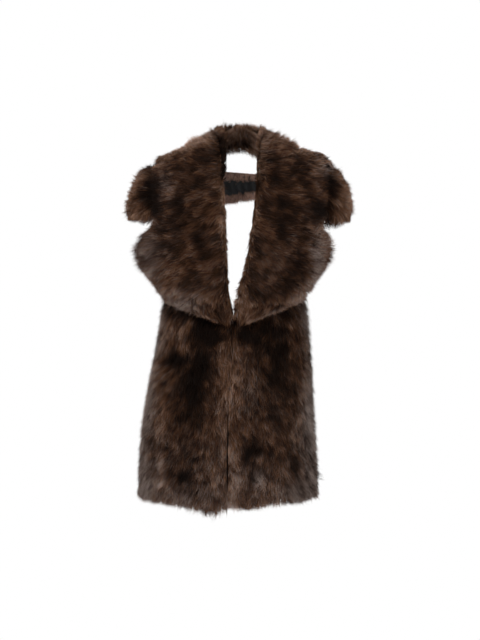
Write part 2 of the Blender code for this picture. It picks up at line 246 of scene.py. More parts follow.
def cap(side, at, columns):
    """Lining points, normals and reach of a cap: half rings of an ellipse."""
    z, reach, depth = along(CAP, at).T[:, :, None]
    turn = np.radians(np.linspace(-90, 90, columns))[None, :]
    reach, depth = np.maximum(reach, 0), np.maximum(depth, 0)
    x = side * (ARM_X + SEAM + reach * np.cos(turn))
    y = depth * np.sin(turn)
    z = z + CAP_RISE * np.cos(turn) ** 2 * smooth(-80, -118, z)
    p = np.stack([x + 0 * y, y, z], axis=-1)
    pole = np.abs(depth) < 1e-6
    n = np.where(pole[..., None], np.array([0.0, 0.0, 1.0]), outward(p, -side))
    n[:, [0, -1], 0] = 0
    n = np.where(np.linalg.norm(n, axis=-1, keepdims=True) < 1e-6, [0.0, 0.0, 1.0], unit(n))
    wall = PRESSED + (PILE - PRESSED) * smooth(2, 24, side * p[..., 0] - ARM_X)
    free = np.sqrt(np.clip(at / 1.2, 0, 1))
    return p, n, np.minimum(wall, EDGE + (PILE - EDGE) * free[:, None])


print("cap rows", len(CAP), "reach to the side", max(row[1] for row in CAP), "mm")

# %% [markdown]
# The shawl collar is one long strip: it starts as the lapel tip, runs up over the shoulder
# and stands behind the neck. It is moved out wherever it would sink into what it lies on,
# just as heavy cloth would rest.

# %% Surface of the collar
# inner edge x y z, outer edge x y z, crown, thickness, how much less on the wearer's left
COLLAR = [
    (1.2, -127, -314, 36, -123, -330, 1, 17, 0), (0.8, -128, -304, 70, -111, -312, 4, 24, 0),
    (1.6, -129, -288, 106, -93, -294, 8, 27, 0), (6.0, -130, -268, 141, -74, -276, 12, 28, 3),
    (10.5, -131, -246, 167, -71, -246, 14, 28, 8), (14.5, -132, -224, 189, -74, -217, 13, 28, 12),
    (17.5, -132, -200, 203, -77, -195, 12, 28, 15), (19.5, -131, -178, 207, -79, -176, 11, 28, 16),
    (21.5, -129, -154, 199, -82, -153, 10, 28, 14), (23.5, -126, -130, 179, -85, -131, 9, 28, 8),
    (26.5, -120, -98, 174, -84, -104, 9, 28, 2), (29.0, -108, -62, 176, -75, -74, 9, 28, 0),
    (30.5, -91, -24, 178, -58, -45, 8, 28, 0), (32.0, -66, 16, 178, -38, -23, 6, 28, 0),
    (35.0, -36, 42, 178, -16, -9, 4, 28, 0), (39.0, -4, 59, 176, 6, -6, 2, 28, 0),
    (43.0, 20, 66, 162, 32, -14, 3, 28, 0), (43.0, 39, 70, 132, 58, -22, 5, 28, 0),
    (36.0, 56, 75, 86, 83, -3, 4, 28, 0), (20.0, 68, 80, 42, 95, 20, 3, 27, 0),
    (0.0, 72, 82, 0, 98, 26, 3, 26, 0),
]
COLLAR_SEAM, REST_GAP = 17, 1.5  # station of the seam, and clearance over what lies below
NEAR, SQUARE = 25.0, 0.85  # points this near a wall and this squarely over it are moved


def cells(k):
    """The corners of every cell of a grid of numbers, in order round the cell."""
    return np.stack([k[:-1, :-1], k[1:, :-1], k[1:, 1:], k[:-1, 1:]], -1).reshape(-1, 4)


def corner_sums(grid):
    """Sums over the four corners of every cell of a grid."""
    return grid[1:, 1:] + grid[:-1, 1:] + grid[1:, :-1] + grid[:-1, :-1]


def wall_tree(p, n, wall):
    """A search tree of the outer side of a wall."""
    q = cells(np.arange(p.shape[0] * p.shape[1]).reshape(p.shape[:2]))
    points = (p + n * wall[..., None]).reshape(-1, 3)
    a, b, c = points[q[:, 0]], points[q[:, 1]], points[q[:, 2]]
    facing = (np.cross(b - a, c - a) * n[:-1, :-1].reshape(-1, 3)).sum(axis=1)
    q = np.where(facing[:, None] < 0, q[:, ::-1], q)
    return BVHTree.FromPolygons([Vector(v) for v in points], q.tolist())


def collar_strip(side, at, trees):
    """Middle points, normals and half thickness of one half of the collar."""
    rows = along(COLLAR, at)
    a, b, crown, thick = rows[:, 0:3], rows[:, 3:6], rows[:, 6], rows[:, 7]
    if side > 0:
        b = b - rows[:, 8:9] * np.array([1, 0, 0])
    wide = np.linalg.norm(b - a, axis=1)
    edge = np.minimum(14.0, wide * 0.3)
    near = np.array([0, 0.16, 0.5, 1.0])
    mid = np.linspace(0, 1, 8)[1:-1]
    t = np.concatenate([
        near[None] * (edge / wide)[:, None],
        (edge / wide)[:, None] + mid[None] * (1 - 2 * edge / wide)[:, None],
        1 - near[::-1][None] * (edge / wide)[:, None],
    ], axis=1)
    p = a[:, None] + (b - a)[:, None] * t[..., None]
    p = p + outward(p, -1) * (crown[:, None] * 4 * t * (1 - t))[..., None]
    n = outward(p, -1)
    n[-1, :, 0] = 0
    seam = np.abs(at - COLLAR_SEAM) < 0.1
    n[seam] = n[seam].mean(axis=0)
    n = unit(n)
    f = np.clip(np.minimum(t, 1 - t) * wide[:, None] / edge[:, None], 0, 1)
    half = thick[:, None] / 2 * np.maximum(np.sqrt(1 - (1 - f) ** 2), 0.28)
    flip = np.array([side, 1, 1])
    p, n = p * flip, n * flip
    reach = n * half[..., None]
    for share, between in ((-1, 0), (-1, 0), (0, 0), (1, 0), (-1, 1), (-1, 0), (-1, 1), (-1, 1)):
        level = p + reach * share
        if between:
            level = corner_sums(level) / 4
        for i, j in np.ndindex(level.shape[:2]):
            for tree in trees:
                spot, normal, _, far = tree.find_nearest(Vector(level[i, j]))
                gap = (Vector(level[i, j]) - spot).dot(normal)
                beside = abs(gap) < SQUARE * far
                if gap < REST_GAP and far < NEAR and not beside:
                    p[i:i + 1 + between, j:j + 1 + between] += np.array(normal) * (REST_GAP - gap)
    return p, n, half


print("collar stations", len(COLLAR), "widest at x", max(row[3] for row in COLLAR), "mm")

# %% [markdown]
# Now the cloths themselves. Real pile cloth is trimmed a little short of where the hair
# ends, so each grid stops before the free edges of its solid. A grid keeps its points,
# its normals and how far the pile may reach at every point.

# %% Grids of every cloth
HEM_ROW = 1.0  # the cloth ends here and the hair goes on to row 0
MEET = 0.02  # the front edges stop this short of the middle
WORDS = {"right": -1, "left": 1}
SPLIT = 0.009  # half the gap at the collar's seam, in stations
stations = np.concatenate([
    np.arange(0, COLLAR_SEAM - 0.3, 0.75),
    [COLLAR_SEAM - SPLIT, COLLAR_SEAM + SPLIT],
    np.linspace(COLLAR_SEAM, len(COLLAR) - 1, 8)[1:],
])
coarse_rows = np.concatenate([
    [0, 0.35, 1, 2, 3, 4, 5, 5.45, 5.85, 6.25, 7, 7.6, 8, 8.4, 9, 9.4],
    np.arange(FIRST_TOP, LAST_ROW + 0.01),
])
coarse_t = np.array([0, 0.035, 0.09, 0.2, 0.34, 0.48, 0.62, 0.76, 0.88, 0.95, 1.0])
coarse_cap = np.array([0, 0.6, 1.2, 2, 2.6, 3.2, 4, 5, 6, 7, 8])
fine_rows = np.concatenate([np.linspace(HEM_ROW, 9, 42), np.linspace(9, LAST_ROW, 30)[1:]])
fine_t = np.linspace(0, 1, 30)

grids = {}
back_halves = []
for word, side in WORDS.items():
    trees = [wall_tree(*body_panel(face, side, coarse_rows, coarse_t)) for face in (-1, 1)]
    trees.append(wall_tree(*cap(side, coarse_cap, 15)))
    grids["front_" + word] = body_panel(-1, side, fine_rows, fine_t)
    p = grids["front_" + word][0]
    meeting = np.abs(p[:, 0, 0]) < 0.5
    p[meeting, 0, 0] = side * MEET
    grids["back_" + word] = body_panel(1, side, fine_rows, fine_t)
    grids["cap_" + word] = cap(side, np.linspace(0.9, 7.7, 22), 26)
    strip = collar_strip(side, stations, trees)
    on_side = stations < COLLAR_SEAM
    rows = np.linspace(0.8, on_side.sum() - 1.0, 58)
    columns = np.linspace(1.4, 9.6, 26)
    grids["collar_" + word] = [finer(g[on_side], rows, columns) for g in strip]
    back_halves.append([g[~on_side] for g in strip])
whole_back = [np.concatenate([r, l[-2::-1]]) for r, l in zip(*back_halves)]
grids["collar_back"] = [
    finer(g, np.linspace(0, len(g) - 1.0, 34), np.linspace(2.0, 9.4, 18)) for g in whole_back
]
for name, (p, _, reach) in grids.items():
    print(name, p.shape[:2], "reach", reach.min().round(1), "to", reach.max().round(1), "mm")

# %% [markdown]
# A strap of the same cloth crosses the open back below the neck. Its fur turns over both
# long edges, and between them a strip of black lining shows from the front. It hangs a
# little crooked, so its long edges slant.

# %% Grid of the back strap
STRAP_WALL, STRAP_BOW, STRAP_ROWS = 15.0, 5.0, 12
LINING_SLANT, LOWER_SLANT, UPPER_SLANT = 0.11, 0.13, 0.083  # the first two rise along x, the last falls
UPPER_DROP = 2.0  # of the upper edge in the middle
# height and share of the full reach
STRAP = [(-70, 0.5), (-63, 0.85), (-51, 1), (-39, 1), (-27, 1), (-14, 0.85), (-6, 0.5)]


def strap(rows, columns):
    """Lining points, normals and reach of the strap: level rows that bow outwards."""
    z, share = along(STRAP, rows).T
    backs = np.array([(r[2], r[0], r[1]) for r in BACK_TOP], float)
    half = np.interp(z, backs[:, 0], backs[:, 1]) - SEAM - 0.5
    deep = np.interp(z, backs[:, 0], backs[:, 2])
    f = np.linspace(-1, 1, columns)[None]
    x = half[:, None] * f
    p = np.stack([x, deep[:, None] + STRAP_BOW * (1 - f**2), z[:, None] + 0 * x], axis=-1)
    return p, outward(p, 1), (STRAP_WALL * share)[:, None] + 0 * x


grids["back_strap"] = strap(np.linspace(0.95, 5.45, STRAP_ROWS), 22)
p = grids["back_strap"][0]
up_strap = np.linspace(0, 1, STRAP_ROWS)[:, None]
p[..., 2] += LOWER_SLANT * smooth(0.45, 0, up_strap) * p[..., 0]
p[..., 2] -= smooth(0.55, 1, up_strap) * (UPPER_DROP + UPPER_SLANT * p[..., 0])
print("strap", np.ptp(p.reshape(-1, 3), axis=0).round(0), "mm")
grids["strap_lining"] = strap(np.linspace(1.5, 4.25, STRAP_ROWS), 34)
p = grids["strap_lining"][0]
p[..., 2] += LINING_SLANT * p[..., 0]
print("lining", np.ptp(p.reshape(-1, 3), axis=0).round(0), "mm")

# %% [markdown]
# Colour in real pile comes hair by hair: a dark root, a warmer middle and a paler tip. Each
# hair stores its tone across a small UV map and its length up it, and two ramps turn that
# into colour. The finish therefore follows every hair, whatever the panel.

# %% Finish of the pile
def finish_of(name, roughness, specular):
    """A new material and its node tree, with one principled shader."""
    mat = bpy.data.materials.new(name)
    mat.use_nodes = True
    shader = mat.node_tree.nodes["Principled BSDF"]
    shader.inputs["Roughness"].default_value = roughness
    shader.inputs["Specular IOR Level"].default_value = specular
    return mat, mat.node_tree, shader


def ramp_of(tree, stops, source):
    """A colour ramp through the stops, fed by a socket."""
    node = tree.nodes.new("ShaderNodeValToRGB")
    points = node.color_ramp.elements
    while len(points) < len(stops):
        points.new(0.5)
    for point, (at, colour) in zip(points, stops):
        point.position = at
        point.color = (*colour, 1)
    tree.links.new(source, node.inputs["Fac"])
    return node.outputs["Color"]


FAMILY = 0.48  # each family of colours takes this much of the map's width
ROOTS = [(0.0, (0.003, 0.002, 0.0016)), (0.5, (0.010, 0.005, 0.003)), (1.0, (0.028, 0.016, 0.010))]
# the palest warm stop is there for the strap's painted light
WARM = [(0.0, (0.006, 0.0034, 0.0024)), (0.25, (0.028, 0.0122, 0.0062)), (0.5, (0.086, 0.0375, 0.018)),
        (0.8, (0.178, 0.094, 0.056)), (0.9, (0.235, 0.135, 0.09)), (1.0, (0.86, 0.52, 0.40))]
# the cool family: the pile's own greyer hairs, and painted sheen where rims and sides get more of them
COOL = [(0.0, (0.007, 0.0056, 0.005)), (0.25, (0.032, 0.022, 0.018)), (0.5, (0.092, 0.062, 0.051)),
        (0.8, (0.18, 0.136, 0.118)), (1.0, (0.36, 0.29, 0.26))]


def two_families(warm, cool):
    """Stops of one ramp: the warm colours on its left part, the cool ones on its right."""
    return [(at * FAMILY, c) for at, c in warm] + [(1 - FAMILY + at * FAMILY, c) for at, c in cool]


pile_finish, tree, shader = finish_of("fur_pile", 0.55, 0.01)
hair_map = tree.nodes.new("ShaderNodeUVMap")
hair_map.uv_map = "OFBake"
parts = tree.nodes.new("ShaderNodeSeparateXYZ")
tree.links.new(hair_map.outputs["UV"], parts.inputs["Vector"])
RISE = [(0.15, (0, 0, 0)), (0.62, (0.42,) * 3), (1.0, (1, 1, 1))]
rise = ramp_of(tree, RISE, parts.outputs["Y"])
blend = tree.nodes.new("ShaderNodeMix")
blend.data_type = "RGBA"
tree.links.new(rise, blend.inputs["Factor"])
tree.links.new(ramp_of(tree, two_families(ROOTS, ROOTS), parts.outputs["X"]), blend.inputs["A"])
tree.links.new(ramp_of(tree, two_families(WARM, COOL), parts.outputs["X"]), blend.inputs["B"])
tree.links.new(blend.outputs["Result"], shader.inputs["Base Color"])
print("finish", pile_finish.name, "with", len(tree.nodes), "nodes")

# %% [markdown]
# The cloth shows in two places. Between the hairs there is dark wool, which a fine noise
# keeps from looking painted. The inside is black satin: a fine diagonal weave as bump, and
# a slow noise that paints a soft sheen into its colour.

# %% Finishes of the wool and the satin
WOOL = [(0.3, (0.004, 0.0026, 0.002)), (0.7, (0.016, 0.009, 0.006))]
# black of the satin, paler where the noise paints its sheen
SATIN = [(0.35, (0.006, 0.006, 0.0065)), (0.75, (0.026, 0.026, 0.028))]
wool_finish, tree, shader = finish_of("underwool", 0.9, 0.1)
place = tree.nodes.new("ShaderNodeTexCoord").outputs["Object"]
noise = tree.nodes.new("ShaderNodeTexNoise")
noise.inputs["Scale"].default_value = 160
tree.links.new(place, noise.inputs["Vector"])
tree.links.new(ramp_of(tree, WOOL, noise.outputs["Fac"]), shader.inputs["Base Color"])

satin_finish, tree, shader = finish_of("satin_lining", 0.4, 0.4)
place = tree.nodes.new("ShaderNodeTexCoord").outputs["Object"]
weave = tree.nodes.new("ShaderNodeTexWave")
weave.wave_type, weave.bands_direction = "BANDS", "DIAGONAL"
weave.inputs["Scale"].default_value = 420
weave.inputs["Distortion"].default_value = 0.6
painted_sheen = tree.nodes.new("ShaderNodeTexNoise")
painted_sheen.inputs["Scale"].default_value = 26
painted_sheen.inputs["Detail"].default_value = 4
for texture in (weave, painted_sheen):
    tree.links.new(place, texture.inputs["Vector"])
tree.links.new(ramp_of(tree, SATIN, painted_sheen.outputs["Fac"]), shader.inputs["Base Color"])
bump = tree.nodes.new("ShaderNodeBump")
bump.inputs["Strength"].default_value = 0.25
bump.inputs["Distance"].default_value = 0.0006
tree.links.new(weave.outputs["Color"], bump.inputs["Height"])
tree.links.new(bump.outputs["Normal"], shader.inputs["Normal"])
print("finishes", [m.name for m in (pile_finish, wool_finish, satin_finish)])

# %% [markdown]
# The cloth under the hair is a thin closed shell: the grid itself is the lining side, and
# the same points moved out by the cloth's thickness are the wool side.

# %% Thin cloth shells
CLOTH = 2.4  # lining and pile backing together
CORE = 3.2  # the collar is two layers of backing with hair on both sides
SATIN_THICK, SATIN_OFF, SATIN_BULGE, RIPPLE = 0.7, 0.5, 2.4, 1.9  # of the strap's lining


def leaned(p):
    """The points with the garment's sideways lean."""
    p = np.array(p, float)
    p[..., 0] += table(LEAN, p[..., 2])
    return p


def placed(name, data):
    """A new object in the scene that shows a mesh, a lamp or a camera."""
    obj = bpy.data.objects.new(name, data)
    bpy.context.collection.objects.link(obj)
    return obj


def shell(name, outer, inner, finishes):
    """A closed shell between two grids: both faces and the strip round the rim."""
    r, c = outer.shape[:2]
    k = np.arange(r * c).reshape(r, c)
    m = k + r * c
    faces = [cells(k), cells(m[:, ::-1])]
    ring = np.concatenate([k[0, :-1], k[:-1, -1], k[-1, :0:-1], k[:0:-1, 0]])
    after = np.roll(ring, -1)
    faces.append(np.stack([ring + r * c, after + r * c, after, ring], -1))
    slots = np.concatenate([np.full(len(f), s) for f, s in zip(faces, (0, 1, 0))])
    quads = np.concatenate(faces)
    points = np.concatenate([leaned(outer).reshape(-1, 3), leaned(inner).reshape(-1, 3)]) * 0.001
    a, b, d = points[quads[:, 0]], points[quads[:, 1]], points[quads[:, 2]]
    e = points[quads[:, 3]]
    if (a * np.cross(b, d)).sum() + (a * np.cross(d, e)).sum() < 0:
        quads = quads[:, ::-1]
    mesh = bpy.data.meshes.new(name)
    mesh.from_pydata(points.tolist(), [], quads.tolist())
    for finish in finishes:
        mesh.materials.append(finish)
    mesh.polygons.foreach_set("material_index", slots.astype(np.int32))
    mesh.polygons.foreach_set("use_smooth", np.ones(len(quads), bool))
    return placed(name, mesh)


cloths = {}
for name, (p, n, _) in grids.items():
    if name.startswith("collar"):
        outer, inner, pair = p + n * CORE / 2, p - n * CORE / 2, [wool_finish] * 2
    elif name == "strap_lining":
        bulge = np.sin(np.linspace(0, math.pi, len(p)))[:, None]
        ripple = RIPPLE * np.sin(p[..., 0] / 2.4 + 1.5 * np.sin(p[..., 2] / 7))
        outer = p - n * (SEAM + SATIN_OFF + (SATIN_BULGE + ripple) * bulge)[..., None]
        inner, pair = outer - n * SATIN_THICK, [satin_finish] * 2
    else:
        outer, inner, pair = p + n * CLOTH, p, [wool_finish, satin_finish]
    cloths[name] = shell(name + "_cloth", outer, inner, pair)
print("shells", len(cloths), "quads", sum(len(o.data.polygons) for o in cloths.values()))

# %% [markdown]
# Pile lies in locks: neighbouring hairs lean together and share a tone. Each lock has a
# scattered centre, and a hair belongs to the nearest one. Slow random values add the
# patches of dark and pale that every dyed pile has.

# %% Random fields
def mottle(points, size, seed):
    """Slow random values from -1 to 1, blended between the corners of a lattice."""
    lattice = np.random.default_rng(seed).uniform(-1, 1, (32, 32, 32))
    q = points / size
    low = np.floor(q).astype(int)
    f = q - low
    f = f * f * (3 - 2 * f)
    total = np.zeros(len(points))
    for corner in np.ndindex(2, 2, 2):
        share = np.where(corner, f, 1 - f).prod(axis=-1)
        total += share * lattice[tuple(((low + corner) % 32).T)]
    return total


def locks(points, size, seed):
    """Number of the lock each point belongs to: the nearest of centres, one to a cell."""
    jitter = np.random.default_rng(seed).uniform(0, 1, (32, 32, 32, 3))
    low = np.floor(points / size).astype(int)
    best = np.full(len(points), np.inf)
    owner = np.zeros(len(points), int)
    for corner in np.ndindex(3, 3, 3):
        cell = low + np.array(corner) - 1
        gap = points / size - cell - jitter[tuple((cell % 32).T)]
        far = (gap**2).sum(axis=1)
        number = ((cell + 2048) @ np.array([1 << 24, 1 << 12, 1])).astype(int)
        owner = np.where(far < best, number, owner)
        best = np.minimum(far, best)
    return np.unique(owner, return_inverse=True)[1]


def read_grid(grid, i, j):
    """A grid read at fractional places in straight lines, carried on past its edges."""
    a = np.clip(np.floor(i).astype(int), 0, grid.shape[0] - 2)
    b = np.clip(np.floor(j).astype(int), 0, grid.shape[1] - 2)
    f, g = i - a, j - b
    if grid.ndim == 3:
        f, g = f[..., None], g[..., None]
    low = grid[a, b] * (1 - g) + grid[a, b + 1] * g
    return low * (1 - f) + (grid[a + 1, b] * (1 - g) + grid[a + 1, b + 1] * g) * f


LOCK = 9.0  # mean size of a lock
sample = np.random.default_rng(5).uniform(0, 60, (500, 3))
print("500 roots in a cube of 60 mm fall into", locks(sample, LOCK, 1).max() + 1, "locks")

# %% [markdown]
# Growing a hair takes a root on the cloth and a way to lie. The hair walks along the
# cloth in that direction and rises off it at the same time, quickly at first and then
# flat, so it follows every fold. Past an edge it simply carries on, which makes the
# ragged outline.

# %% Grow hairs on a grid
LEVELS = np.array([0.0, 0.42, 1.0])  # places up a hair
WIDTHS = np.array([0.8, 1.0, 0.0])  # of the full width at those places
GUARD_SHARE, GUARD_PALE = 0.10, 0.18  # some single hairs are much paler


def grow(grid, comb, weight, count, seed, length=30.0, start=2.0, width=0.9, upright=0.45,
         gather=0.28, sag=3.0, trim=18.0, wild=0.0):
    """Points, half widths, tones and places of hairs, with roots by area times weight.

    comb holds the way to lie as parts along the rows and along the columns. A hair of
    length L has gone L v^1.25 along the cloth at the share v of its length, and has
    risen by 1 - (1 - v)^2 of its height. The more upright it is, the straighter it
    rises and the less far it goes. Past an edge it is trimmed after about trim. The
    few wildest locks stand out and overhang by the share wild more than the rest.
    """
    p, n, reach = grid
    rng = np.random.default_rng(seed)
    over, down = np.gradient(p, axis=1), np.gradient(p, axis=0)
    area = corner_sums(np.linalg.norm(np.cross(down, over), axis=-1) * weight).ravel()
    cell = rng.choice(len(area), count, p=area / area.sum())
    i, j = np.divmod(cell, p.shape[1] - 1) + rng.uniform(0, 1, (2, count))
    root = read_grid(p, i, j)
    lock = locks(root, LOCK, seed + 1)
    lock_turn, lock_long, lock_tone, lock_stand = rng.normal(0, 1, (4, lock.max() + 1))[:, lock]
    turn = 16 * lock_turn + 14 * rng.normal(0, 1, count) + 26 * mottle(root, 60.0, seed + 2)
    turn = np.radians(turn)
    loose = np.random.default_rng(seed + 4)
    further = loose.uniform(0, 1, lock.max() + 1)[lock] ** 2 * loose.uniform(0.3, 1, count)
    further = 1 + wild * further
    upright = read_grid(np.broadcast_to(upright, reach.shape), i, j)
    stand = np.clip(upright + 0.22 * rng.normal(0, 1, count) + 0.16 * lock_stand, 0, 1)
    along_rows, along_columns = np.moveaxis(read_grid(comb, i, j), -1, 0)
    size = np.maximum(np.hypot(along_rows, along_columns), 1e-6)
    along_rows, along_columns = along_rows / size, along_columns / size
    cos, sin = np.cos(turn), np.sin(turn)
    along_rows, along_columns = (along_rows * cos - along_columns * sin,
                                 along_rows * sin + along_columns * cos)
    far = read_grid(np.broadcast_to(length, reach.shape), i, j)
    far = far * (1 + 0.06 * lock_long) * rng.uniform(0.66, 1.16, count)
    far = far * (1 - 0.6 * stand)
    place = np.stack([i, j])
    pace = np.stack([along_rows / read_grid(np.linalg.norm(down, axis=-1), i, j),
                     along_columns / read_grid(np.linalg.norm(over, axis=-1), i, j)])
    last = np.array(p.shape[:2])[:, None] - 1
    end = place + far * pace
    past = (np.abs(end - np.clip(end, 0, last)) / np.maximum(np.abs(pace), 1e-6)).max(axis=0)
    room = read_grid(np.broadcast_to(trim, reach.shape), i, j) * rng.uniform(0.82, 1.15, count)
    room = room * further
    far = far - np.maximum(past - room, 0)
    i, j = place[..., None] + (far * pace)[..., None] * LEVELS**1.25
    on_cloth = np.clip(i, 0, last[0]), np.clip(j, 0, last[1])
    facing = unit(read_grid(n, *on_cloth))
    stand = stand[:, None]
    share = 0.42 + 0.54 * rng.uniform(0, 1, (count, 1)) ** 0.7
    height = read_grid(reach, *on_cloth) * (share + (1.15 - share) * stand)
    height = height * np.clip(rng.normal(1, 0.13, (count, 1)), 0.6, 1.3) * further[:, None]
    rising = (1 - (1 - LEVELS) ** 2) * (1 - stand) + LEVELS * stand
    height = start + np.maximum(height - start, 0.6) * rising
    points = read_grid(p, i, j) + facing * height[..., None]
    points[..., 2] -= sag * rng.uniform(0.3, 1.3, (count, 1)) * LEVELS**2
    members = np.bincount(lock)[:, None, None]
    middle = np.zeros((lock.max() + 1, len(LEVELS), 3))
    np.add.at(middle, lock, points)
    pull = (gather * (1 - 0.8 * smooth(0, 6, past)))[:, None, None] * LEVELS[:, None] ** 1.4
    points = points + pull * ((middle / members)[lock] - points)
    across = unit(np.cross(np.gradient(points, axis=1), facing))
    roll = rng.normal(0, 0.6, (count, 1, 1))
    across = across * np.cos(roll) + facing * np.sin(roll)
    half = width / 2 * rng.uniform(0.75, 1.25, (count, 1)) * WIDTHS
    tone = 0.15 * lock_tone + 0.12 * rng.normal(0, 1, count)
    tone = tone + GUARD_PALE * (rng.uniform(0, 1, count) < GUARD_SHARE)
    return points, across * half[..., None], tone, place


print("a hair has", len(LEVELS), "levels, at", LEVELS.tolist())

# %% [markdown]
# Thousands of separate curves would be slow, and an export can't keep them. So all hairs
# of a panel become one mesh of flat ribbons, written in a few large arrays.

# %% One mesh of hairs
def pile(name, groups):
    """One mesh of ribbons, five points to a hair: two pairs and a tip.

    The UV map holds the tone of the hair across and the share of its length up.
    """
    points, half, tone = (np.concatenate(part) for part in zip(*groups))
    count = len(points)
    points = leaned(points)
    pairs = np.stack([points[:, :2] - half[:, :2], points[:, :2] + half[:, :2]], axis=2)
    vertices = np.concatenate([pairs.reshape(count, 4, 3), points[:, 2:]], axis=1) * 0.001
    corners = np.array([0, 1, 3, 2, 2, 3, 4])
    loops = (np.arange(count)[:, None] * 5 + corners).astype(np.int32)
    starts = (np.arange(count)[:, None] * 7 + [0, 4]).astype(np.int32)
    mesh = bpy.data.meshes.new(name)
    mesh.vertices.add(count * 5)
    mesh.vertices.foreach_set("co", vertices.ravel().astype(np.float32))
    mesh.loops.add(count * 7)
    mesh.loops.foreach_set("vertex_index", loops.ravel())
    mesh.polygons.add(count * 2)
    mesh.polygons.foreach_set("loop_start", starts.ravel())
    mesh.update(calc_edges=True)
    beside = np.array([-1, 1, -1, 1, 0]) * 0.0015
    up = LEVELS[[0, 0, 1, 1, 2]]
    spot = np.stack([tone[:, None] + beside, np.broadcast_to(up, (count, 5))], axis=-1)
    uv = mesh.uv_layers.new(name="OFBake")
    uv.data.foreach_set("uv", spot[:, corners].ravel().astype(np.float32))
    mesh.polygons.foreach_set("use_smooth", np.ones(count * 2, bool))
    mesh.materials.append(pile_finish)
    return placed(name, mesh)
